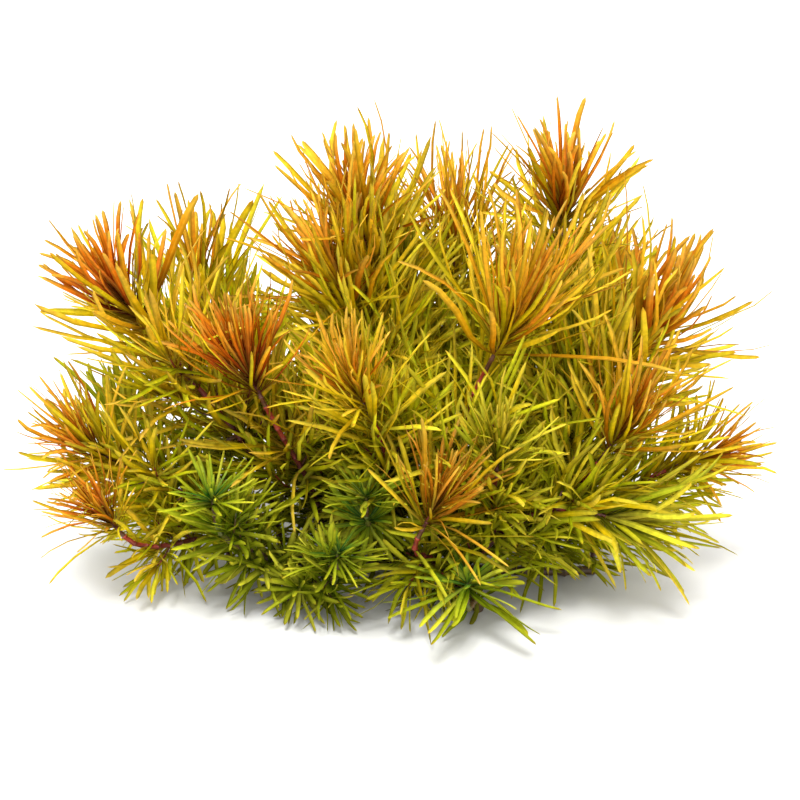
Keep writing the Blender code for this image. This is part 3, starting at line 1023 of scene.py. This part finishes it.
def lay_out_tube(tube, length):
    """Writes how far up the straight tube each point is, and its place in the sheet's free strip."""
    mesh = tube.data
    places = np.array([vertex.co for vertex in mesh.vertices])
    up = places[:, 2] / length
    around = (np.arctan2(places[:, 1], places[:, 0]) / (2 * math.pi)) % 1
    corners = np.array([loop.vertex_index for loop in mesh.loops])
    turn = around[corners]
    for face in mesh.polygons:
        own = slice(face.loop_start, face.loop_start + face.loop_total)
        if np.ptp(turn[own]) > 0.5:
            turn[own] += turn[own] < 0.5
    for layer in list(mesh.uv_layers):
        mesh.uv_layers.remove(layer)
    layer = mesh.uv_layers.new(name="OFBake")
    along = TUBE_MARGIN + (1 - 2 * TUBE_MARGIN) * up[corners]
    across = SHEET_TOP + TUBE_MARGIN + turn / (1 + 1 / TUBE_SIDES) * (1 - 2 * TUBE_MARGIN - SHEET_TOP)
    layer.data.foreach_set("uv", np.stack([along, across], 1).astype(np.float32).ravel())
    add_values(mesh, "along", up)


# %% Bend the row along its route
def make_tube(name, route, thickness, stretches):
    """A jointed stem along a route, with its thickness at the foot and at the top."""
    length = curve_length(route)
    guide = guide_curve(route, thickness)
    tube = row_of_stretches(name, length, stretches)
    lay_out_tube(tube, length)
    bend = tube.modifiers.new("bend", "CURVE")
    bend.object = guide
    bend.deform_axis = "POS_Z"
    bpy.ops.object.modifier_apply(modifier=bend.name)
    bpy.data.objects.remove(guide)
    return tube


# %% [markdown]
# ## Leaf skins
#
# A leaf under water is thin and wet. Light that falls on its back comes through in glowing yellow, and
# its front has a faint shine. So each leaf skin is two shaders: a Principled one for the surface, and a
# Translucent one for the light that comes through. Both take one colour, and that is where the detail
# goes. It runs along the leaf from a red or green base to a golden tip, turns with age, differs from leaf
# to leaf, and is paler along the rib. Paler rims add a painted highlight of light through the edges, and
# painted shade darkens the half beyond the fold, the gloom inside the clump and the leaves close to the
# ground. An image could hold all that, but attributes and ramps stay sharp on every one of the thousands
# of leaves.

# %% Helpers for node trees
def new_skin(name):
    skin = bpy.data.materials.new(name)
    skin.use_nodes = True
    skin.node_tree.nodes.clear()
    return skin, skin.node_tree


def add_node(tree, kind, **settings):
    node = tree.nodes.new(kind)
    for key, value in settings.items():
        setattr(node, key, value)
    return node


def feed(tree, given, socket):
    """Gives a socket what it needs, which is another socket's output, a number or a colour."""
    if isinstance(given, bpy.types.NodeSocket):
        tree.links.new(given, socket)
    else:
        socket.default_value = (*given, 1) if socket.type == "RGBA" else given


def read_value(tree, name):
    return add_node(tree, "ShaderNodeAttribute", attribute_name=name).outputs["Fac"]


def object_place(tree):
    return add_node(tree, "ShaderNodeTexCoord").outputs["Object"]


# %% Nodes that change values and colours
def ramp(tree, source, stops):
    """A colour ramp over a value, its stops given as place and colour."""
    node = add_node(tree, "ShaderNodeValToRGB")
    elements = node.color_ramp.elements
    while len(elements) < len(stops):
        elements.new(0.5)
    for element, (place, colour) in zip(elements, stops):
        element.position = place
        element.color = (*colour, 1)
    tree.links.new(source, node.inputs["Fac"])
    return node.outputs["Color"]


def blend(tree, share, first, second):
    """Mixes two colours by a share of the second."""
    node = add_node(tree, "ShaderNodeMix", data_type="RGBA", blend_type="MIX")
    feed(tree, share, node.inputs[0])
    feed(tree, first, node.inputs[6])
    feed(tree, second, node.inputs[7])
    return node.outputs[2]


def maths(tree, operation, first, second=0.0):
    node = add_node(tree, "ShaderNodeMath", operation=operation)
    feed(tree, first, node.inputs[0])
    feed(tree, second, node.inputs[1])
    return node.outputs[0]


def fitted(tree, source, low, high, new_low, new_high):
    """A value from one range, fitted to another."""
    node = add_node(tree, "ShaderNodeMapRange")
    tree.links.new(source, node.inputs["Value"])
    for name, value in (("From Min", low), ("From Max", high), ("To Min", new_low), ("To Max", new_high)):
        node.inputs[name].default_value = value
    return node.outputs["Result"]


def grain(tree, scale, detail=3.0):
    """Fine noise over the piece, in its own coordinates."""
    noise = add_node(tree, "ShaderNodeTexNoise")
    tree.links.new(object_place(tree), noise.inputs["Vector"])
    noise.inputs["Scale"].default_value = scale
    noise.inputs["Detail"].default_value = detail
    return noise.outputs["Fac"]


# %% Shaders and the end of a tree
def wet_surface(tree, colour, roughness, relief, strength, depth):
    """A surface of this colour, whose roughness varies and which has a fine relief."""
    surface = add_node(tree, "ShaderNodeBsdfPrincipled")
    tree.links.new(colour, surface.inputs["Base Color"])
    tree.links.new(roughness, surface.inputs["Roughness"])
    bump = add_node(tree, "ShaderNodeBump")
    bump.inputs["Strength"].default_value = strength
    bump.inputs["Distance"].default_value = depth
    tree.links.new(relief, bump.inputs["Height"])
    tree.links.new(bump.outputs["Normal"], surface.inputs["Normal"])
    return surface


def end_tree(tree, shader):
    output = add_node(tree, "ShaderNodeOutputMaterial")
    tree.links.new(shader.outputs[0], output.inputs["Surface"])


# %% The colour along a leaf, which turns with age
# Old leaves have the grown colours, and young ones at the heart are red in the light or green in the
# shade.
TONE_REACH = 0.8
RED_BASE = (0.15, 0.022, 0.006)
GREEN_HEART = ((0.0, (0.010, 0.13, 0.035)), (0.45, (0.06, 0.28, 0.030)), (0.9, (0.42, 0.54, 0.02)))


def aged_colour(tree, told, young, grown, reddened):
    """The leaf's colour at every age, turned to red or to green at the heart."""
    along = told["along"]
    apart = maths(tree, "MULTIPLY", maths(tree, "SUBTRACT", told["tone"], 0.5), TONE_REACH)
    aged = maths(tree, "ADD", told["age"], apart)
    grown_share = fitted(tree, aged, 0.05, 0.6, 0, 1)
    colour = blend(tree, grown_share, ramp(tree, along, young), ramp(tree, along, grown))
    red = maths(tree, "MAXIMUM", told["red"], 0.0)
    flush = maths(tree, "MULTIPLY", red, fitted(tree, aged, 0.0, 0.85, 1.7, 0.0))
    colour = blend(tree, maths(tree, "MINIMUM", flush, 1.0), colour, ramp(tree, along, reddened))
    base = maths(tree, "MULTIPLY", red, fitted(tree, along, 0.0, 0.45, 0.8, 0.0))
    colour = blend(tree, base, colour, RED_BASE)
    green = maths(tree, "MINIMUM", told["red"], 0.0)
    fresh = maths(tree, "MULTIPLY", green, fitted(tree, told["age"], 0.05, 0.26, -1.0, 0.0))
    return blend(tree, fresh, colour, ramp(tree, along, GREEN_HEART))


# %% What sets a leaf apart from its neighbours, and painted shade in the gloom
OWN_TURNS = 7.3
SHADE_GREEN_AND_PAINTED_GLOOM = (0.14, 0.22, 0.008)
PALE_LEAF = (0.82, 0.64, 0.10)


def own_colour_and_painted_gloom(tree, told, own, colour):
    """Greener and darker in the gloom, partly the true green of shaded leaves and partly painted shade, and
    paler on some leaves.
    """
    # Painted shade beside the truer green of shaded leaves: leaves in the gloom are blended towards a dark
    # green.
    colour = blend(tree, fitted(tree, told["light"], 0, 1, 0.45, 0.0), colour, SHADE_GREEN_AND_PAINTED_GLOOM)
    return blend(tree, fitted(tree, own, 0.5, 1.0, 0.0, 0.3), colour, PALE_LEAF)


# %% Light and dark on a leaf, with painted shade
# Painted shade near the ground fades out up to this height.
GROUND_SHADE = 20 * MM


def leaf_shade(tree, told, own):
    """How light each point is: its own tone by leaf and in spots, and painted shade on the half beyond the
    fold, in the gloom and near the ground.
    """
    lightness = fitted(tree, own, 0, 1, 0.74, 1.16)
    spots = fitted(tree, grain(tree, 320), 0.35, 0.7, 0.84, 1.1)
    # Painted shade: one half of each leaf, beyond its fold, is darker.
    painted_fold_shade = fitted(tree, told["across"], 0.1, 0.7, 1.05, 0.66)
    place = add_node(tree, "ShaderNodeSeparateXYZ")
    tree.links.new(object_place(tree), place.inputs[0])
    # Painted shade: leaves are darker close to the ground.
    low = fitted(tree, place.outputs["Z"], 0, GROUND_SHADE, 0.62, 1.0)
    # Painted shade: leaves are darker in the gloom inside the clump.
    gloom = maths(tree, "MULTIPLY", fitted(tree, told["light"], 0, 1, 0.55, 1.0), low)
    leaf = maths(tree, "MULTIPLY", lightness, spots)
    return maths(tree, "MULTIPLY", leaf, maths(tree, "MULTIPLY", painted_fold_shade, gloom))


# %% The whole leaf skin
# The pale colour of the rib, and of the rims as a painted highlight.
PALE_RIB_AND_PAINTED_RIM = (0.86, 0.67, 0.05)
LEAF_SHINE = 0.05
LEAF_RELIEF = 0.0002
LIGHT_THROUGH = 0.5


def leaf_skin(name, young, grown, reddened):
    """A leaf's skin from three runs of colour along it: young, grown, and turned red by the light."""
    skin, tree = new_skin(name)
    told = {key: read_value(tree, key) for key in ("along", "across", "age", "tone", "light", "red")}
    own = maths(tree, "FRACT", maths(tree, "MULTIPLY", told["tone"], OWN_TURNS))
    colour = own_colour_and_painted_gloom(tree, told, own, aged_colour(tree, told, young, grown, reddened))

    # The rib is truly paler. The paler rims are a painted highlight, for light that shines through the
    # leaf's edges.
    across = maths(tree, "ABSOLUTE", told["across"])
    painted_rim_light = fitted(tree, across, 0.72, 1.0, 0.0, 0.25)
    rib = fitted(tree, across, 0.0, 0.24, 0.4, 0.0)
    colour = blend(tree, maths(tree, "MAXIMUM", painted_rim_light, rib), colour, blend(tree, 0.6, colour, PALE_RIB_AND_PAINTED_RIM))
    shaded = add_node(tree, "ShaderNodeVectorMath", operation="SCALE")
    tree.links.new(colour, shaded.inputs[0])
    tree.links.new(leaf_shade(tree, told, own), shaded.inputs["Scale"])

    roughness = fitted(tree, grain(tree, 900, 2.0), 0.3, 0.7, 0.36, 0.52)
    relief = maths(tree, "ADD", grain(tree, 1400, 2.0), rib)
    surface = wet_surface(tree, shaded.outputs[0], roughness, relief, 0.25, LEAF_RELIEF)
    surface.inputs["Specular IOR Level"].default_value = LEAF_SHINE
    through = add_node(tree, "ShaderNodeBsdfTranslucent")
    tree.links.new(shaded.outputs[0], through.inputs["Color"])
    both = add_node(tree, "ShaderNodeMixShader")
    both.inputs[0].default_value = LIGHT_THROUGH
    tree.links.new(surface.outputs[0], both.inputs[1])
    tree.links.new(through.outputs[0], both.inputs[2])
    end_tree(tree, both)
    print("made the skin", name)
    return skin


# %% Three leaf skins
GOLD_TIP = (0.82, 0.55, 0.08)
LIME_TIP = (0.76, 0.71, 0.06)
sunlit_leaf = leaf_skin(
    "sunlit leaf",
    young=((0.0, (0.46, 0.18, 0.002)), (0.4, (0.90, 0.43, 0.002)), (1.0, GOLD_TIP)),
    grown=(
        (0.0, (0.50, 0.41, 0.003)), (0.5, (0.78, 0.63, 0.006)),
        (0.9, (0.82, 0.68, 0.03)), (1.0, (0.7, 0.4, 0.02)),
    ),
    reddened=(
        (0.0, (0.13, 0.010, 0.003)), (0.4, (0.52, 0.055, 0.003)),
        (0.75, (0.80, 0.25, 0.005)), (1.0, GOLD_TIP),
    ),
)
shaded_leaf = leaf_skin(
    "shaded leaf",
    young=((0.0, (0.10, 0.24, 0.007)), (0.35, (0.34, 0.45, 0.007)), (1.0, (0.68, 0.70, 0.03))),
    grown=(
        (0.0, (0.13, 0.23, 0.006)), (0.4, (0.38, 0.46, 0.007)),
        (0.9, (0.66, 0.69, 0.03)), (1.0, (0.6, 0.4, 0.02)),
    ),
    reddened=((0.0, (0.30, 0.16, 0.01)), (0.5, (0.80, 0.52, 0.012)), (1.0, GOLD_TIP)),
)
stem_leaf = leaf_skin(
    "stem leaf",
    young=((0.0, (0.54, 0.43, 0.003)), (0.5, (0.90, 0.72, 0.005)), (1.0, LIME_TIP)),
    grown=(
        (0.0, (0.33, 0.38, 0.003)), (0.5, (0.68, 0.75, 0.006)),
        (0.9, (0.78, 0.79, 0.02)), (1.0, (0.7, 0.45, 0.02)),
    ),
    reddened=((0.0, (0.50, 0.30, 0.004)), (0.5, (0.88, 0.63, 0.006)), (1.0, GOLD_TIP)),
)

# %% [markdown]
# ## Stem skins
#
# Upright stems are maroon and redder towards the light, the stems of rosettes stay green at the top, and
# creeping stems are brown. All have darker flecks. They are thick and let no light through, so one shader
# is enough, with a ramp up the stem and a fine grain for the flecks, the shine and the relief.

# %% Three stem skins
STEM_RELIEF = 0.0003


def stem_skin(name, stops, flecks):
    """A stem's skin: one run of colour up the stem, under darker flecks."""
    skin, tree = new_skin(name)
    colour = ramp(tree, read_value(tree, "along"), stops)
    colour = blend(tree, fitted(tree, grain(tree, 260), 0.45, 0.7, 0.0, 0.75), colour, flecks)
    roughness = fitted(tree, grain(tree, 700), 0.3, 0.7, 0.32, 0.55)
    end_tree(tree, wet_surface(tree, colour, roughness, grain(tree, 900), 0.4, STEM_RELIEF))
    print("made the skin", name)
    return skin


upright_stem = stem_skin(
    "upright stem",
    stops=((0.0, (0.10, 0.045, 0.015)), (0.5, (0.12, 0.02, 0.012)), (1.0, (0.32, 0.035, 0.015))),
    flecks=(0.05, 0.012, 0.01),
)
green_stem = stem_skin(
    "green stem",
    stops=((0.0, (0.10, 0.05, 0.015)), (0.7, (0.13, 0.07, 0.015)), (1.0, (0.10, 0.16, 0.015))),
    flecks=(0.06, 0.04, 0.01),
)
creeping_stem = stem_skin(
    "creeping stem",
    stops=((0.0, (0.07, 0.045, 0.018)), (1.0, (0.09, 0.05, 0.018))),
    flecks=(0.03, 0.02, 0.008),
)

# %% [markdown]
# ## Growing the pieces
#
# Each node of the plan now gets its piece: a jointed stem and the leaves that stand on it, joined into
# one mesh with two skins. The leaves come from the arrays, so they are linked in as an object first, and
# Join makes the two one.

# %% Join leaves and stem into one piece
SMOOTH_ANGLE = math.radians(50)
made = []


def dressed_object(name, mesh, skin):
    mesh.materials.append(skin)
    thing = bpy.data.objects.new(name, mesh)
    bpy.context.scene.collection.objects.link(thing)
    return thing


def join(main, others):
    """Joins other objects into the main one, which keeps its name."""
    deselect_all()
    for thing in (main, *others):
        thing.select_set(True)
    bpy.context.view_layer.objects.active = main
    bpy.ops.object.join()


def put_in_place(piece, node):
    """Smooths a selected piece, and lets it stand for its node of the plan."""
    bpy.ops.object.shade_smooth_by_angle(angle=SMOOTH_ANGLE)
    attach(piece, "root")
    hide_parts(node)
    made.append(piece)


def finish_piece(leaves, tube, bark, node, twigs=()):
    """Joins a stem and any twigs to their leaves, and puts the piece in place."""
    tube.data.materials.clear()
    tube.data.materials.append(bark)
    rods = []
    if twigs:
        rods = [dressed_object("twigs", leaf_mesh("twigs", ROD, gathered(twigs), 0.0), bark)]
    join(leaves, [tube, *rods])
    put_in_place(leaves, node)


# %% The skins of a shoot
GREEN_HEARTED = -0.5


def skins_of_stem(shoot):
    """The skins of a shoot's stem, and of the leaves on it."""
    if shoot.red < GREEN_HEARTED:
        return green_stem, shaded_leaf
    return upright_stem, stem_leaf


def skin_of_crown(shoot):
    return sunlit_leaf if shoot.tint == "orange" else shaded_leaf


# %% The upright shoots: a stem and its crown
# A thickness is given at the foot and at the top, beside the plain tube's.
STEM_THICKNESS = (1.2, 0.95)
CROWN_THICKNESS = (0.95, 0.5)
CROWN_JOINTS = 4
STEM_RED_SHARE = 0.6


def grow_stem(shoot):
    route = stems[shoot.name]
    bark, skin = skins_of_stem(shoot)
    tube = make_tube("tube", route, STEM_THICKNESS, len(whorl_shares(route)))
    twigs, small_leaves = stem_sprigs(shoot, route)
    leaves = gathered([stem_leaves(shoot, route), *small_leaves])
    name = "leafy_stem_" + shoot.name
    mesh = leaf_mesh(name, PLAIN, leaves, max(shoot.red, 0) * STEM_RED_SHARE)
    finish_piece(dressed_object(name, mesh, skin), tube, bark, "stem_" + shoot.name, twigs)


def grow_crown(shoot):
    tube = make_tube("tube", up_to_heart(shoot), CROWN_THICKNESS, CROWN_JOINTS)
    name = "leaf_crown_" + shoot.name
    mesh = leaf_mesh(name, FULL, crown_leaves(shoot, crown_route(shoot)), shoot.red)
    leaves = dressed_object(name, mesh, skin_of_crown(shoot))
    finish_piece(leaves, tube, skins_of_stem(shoot)[0], "crown_" + shoot.name)


for shoot in UPRIGHT_SHOOTS:
    grow_stem(shoot)
    grow_crown(shoot)
print(len(made), "pieces,", sum(len(piece.data.vertices) for piece in made), "points")

# %% The side shoots: a stalk and its crown in one
STALK_THICKNESS = (1.0, 0.9)
BUD_THICKNESS = (0.9, 0.5)


def grow_side_shoot(shoot):
    stalk = stalks[shoot.name]
    tube = make_tube("tube", stalk, STALK_THICKNESS, len(whorl_shares(stalk)))
    bud = make_tube("bud", up_to_heart(shoot), BUD_THICKNESS, CROWN_JOINTS)
    join(tube, [bud])
    leaves = gathered([stem_leaves(shoot, stalk), crown_leaves(shoot, crown_route(shoot))])
    name = "leafy_side_shoot_" + shoot.name
    leaves = dressed_object(name, leaf_mesh(name, FULL, leaves, shoot.red), skin_of_crown(shoot))
    finish_piece(leaves, tube, skins_of_stem(shoot)[0], "side_shoot_" + shoot.name)


for shoot in SIDE_SHOOTS:
    grow_side_shoot(shoot)
print(len(made), "pieces")

# %% [markdown]
# ## Creeping stems
#
# They are the same jointed stems, thicker and brown, and they rest on the ground where they were cut from
# their roots. A flat underside could be modelled into the master stretch, but then the bend would tilt
# it. So Bisect slices the finished tube at the ground and fills the cut.

# %% Lay the creeping stems
CREEPER_THICKNESS = (2.0, 1.9)
CREEPER_STEP = 14 * MM
for name, route in creepers.items():
    joints = max(int(curve_length(route) / CREEPER_STEP), LEAST_JOINTS)
    tube = make_tube("creeping_stem_piece_" + name, route, CREEPER_THICKNESS, joints)
    deselect_all()
    tube.select_set(True)
    bpy.context.view_layer.objects.active = tube
    bpy.ops.object.mode_set(mode="EDIT")
    bpy.ops.mesh.select_all(action="SELECT")
    bpy.ops.mesh.bisect(
        plane_co=(0, 0, 0), plane_no=(0, 0, 1), use_fill=True, clear_inner=True, threshold=TINY,
    )
    bpy.ops.object.mode_set(mode="OBJECT")
    tube.data.materials.clear()
    tube.data.materials.append(creeping_stem)
    put_in_place(tube, "creeping_stem_" + name)
bpy.data.objects.remove(master_stretch)
print(len(made), "pieces in all")

# %% [markdown]
# ## Floor, light and camera
#
# The plant stands on a plain pale floor. A white sky lights it evenly from all round, which keeps the
# shadows open, and one broad soft sun from above the front gives the leaves their form and lets light
# through the upper ones. A few lamps could do the same, but their light would fall off across the clump.
# The camera looks down on it from about twenty degrees.

# %% The floor
FLOOR_SIZE = 12
FLOOR_DROP = 0.2 * MM
FLOOR_GREY = (0.60, 0.60, 0.59, 1)
FLOOR_ROUGHNESS = 0.8
deselect_all()
bpy.ops.mesh.primitive_plane_add(size=FLOOR_SIZE, location=(0, 0, -FLOOR_DROP))
floor = bpy.context.object
floor.name = "floor"
paper, tree = new_skin("pale floor")
surface = add_node(tree, "ShaderNodeBsdfPrincipled")
surface.inputs["Base Color"].default_value = FLOOR_GREY
surface.inputs["Roughness"].default_value = FLOOR_ROUGHNESS
end_tree(tree, surface)
floor.data.materials.append(paper)
print("the floor is", FLOOR_SIZE, "m wide")

# %% Studio light
SKY_STRENGTH = 1.9
SUN_STRENGTH = 3.4
SUN_WIDTH = math.radians(20)
SUN_WAY = (0.10, 0.38, -0.92)
world = bpy.data.worlds.new("studio")
bpy.context.scene.world = world
world.use_nodes = True
sky = world.node_tree.nodes["Background"]
sky.inputs["Color"].default_value = (1, 1, 1, 1)
sky.inputs["Strength"].default_value = SKY_STRENGTH


def facing(look):
    """The rotation of a lamp or camera that looks this way."""
    return Vector(look).to_track_quat("-Z", "Y").to_euler()


deselect_all()
bpy.ops.object.light_add(type="SUN", location=(0, 0, 1), rotation=facing(SUN_WAY))
key = bpy.context.object
key.name = "key"
key.data.energy = SUN_STRENGTH
key.data.angle = SUN_WIDTH
print("a sky of strength", SKY_STRENGTH, "and a sun of", SUN_STRENGTH)

# %% The camera
CAMERA_TARGET = (-0.005, 0.0, 0.0931)
CAMERA_DISTANCE = 0.944
CAMERA_ELEVATION = math.radians(20)
CAMERA_LENS = 85
CAMERA_SENSOR = 36
way = np.array((0, math.cos(CAMERA_ELEVATION), -math.sin(CAMERA_ELEVATION)))
deselect_all()
bpy.ops.object.camera_add(location=np.array(CAMERA_TARGET) - way * CAMERA_DISTANCE)
camera = bpy.context.object
camera.rotation_euler = facing(way)
camera.data.lens = CAMERA_LENS
camera.data.sensor_width = CAMERA_SENSOR
bpy.context.scene.camera = camera
bpy.context.scene.view_settings.view_transform = "Standard"
print("the camera stands", CAMERA_DISTANCE, "m away")

# %% [markdown]
# ## The plan's size
#
# The plant has to keep the plan's size, so the plan's box is printed.

# %% Print the plan's box
print("plan", plan_box)
